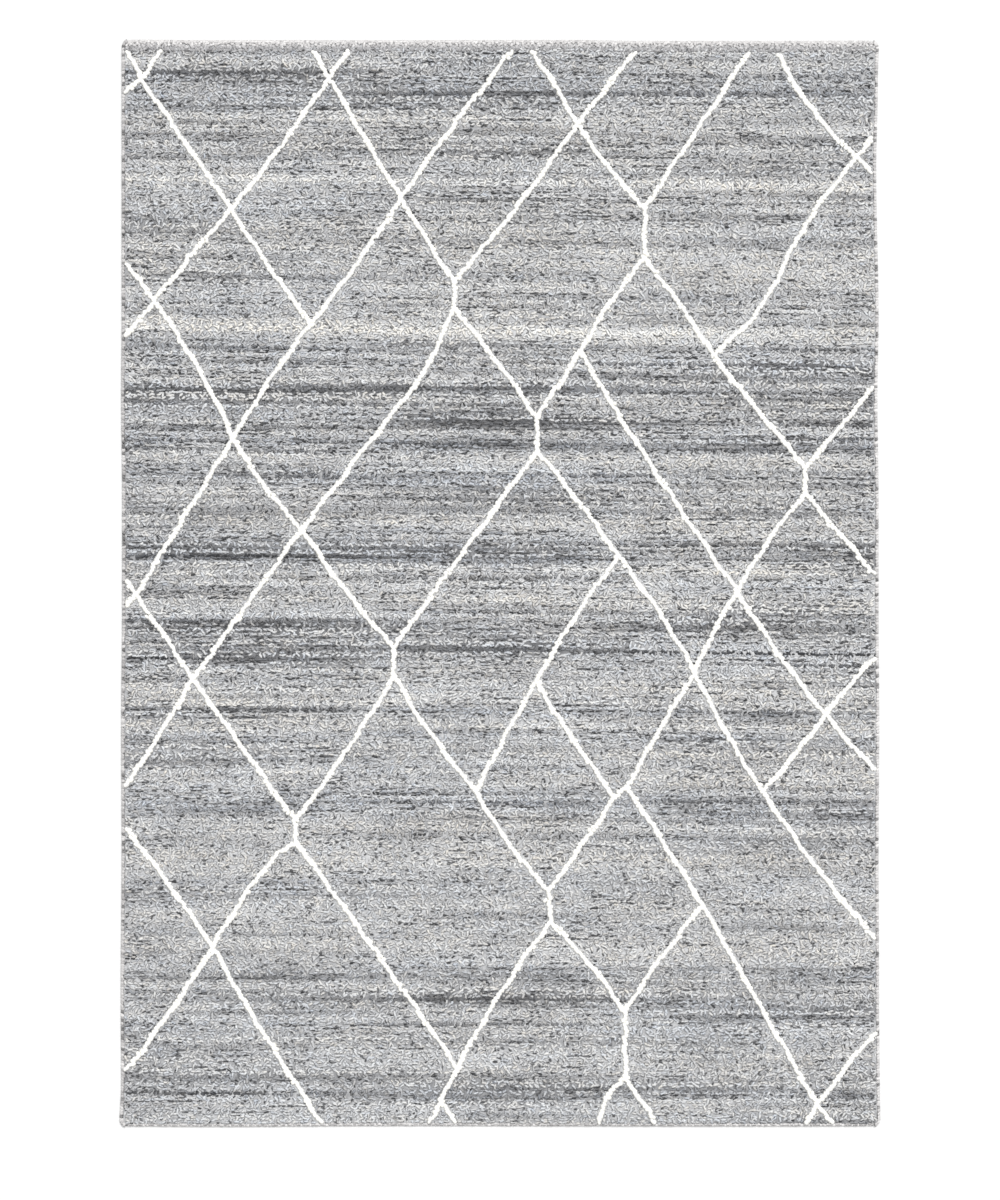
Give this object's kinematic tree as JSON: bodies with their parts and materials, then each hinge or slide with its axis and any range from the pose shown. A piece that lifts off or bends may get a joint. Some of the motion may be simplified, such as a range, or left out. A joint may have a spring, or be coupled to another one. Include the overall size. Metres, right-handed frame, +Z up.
{
  "type": "hand-tufted wool rug",
  "caption": "Flat looped wool rug with a raised ivory lattice, turned ends and an overcast cord along each long side.",
  "frame": {"origin": "on the floor under the middle of the rug", "axes": "+X across the rug, +Y along it towards the end with the wide turned strip, +Z up"},
  "size_m": [1.6095, 2.3019, 0.015],
  "materials": {
    "grey_wool": "matte heathered wool loops in light and dark grey bands",
    "ivory_wool": "matte plush ivory wool",
    "overcast_yarn": "matte twisted yarn in close stitches"
  },
  "bodies": {
    "root": {"tufted_panel": "grey_wool", "side_binding_left": "overcast_yarn", "side_binding_right": "overcast_yarn"}
  },
  "joints": []
}
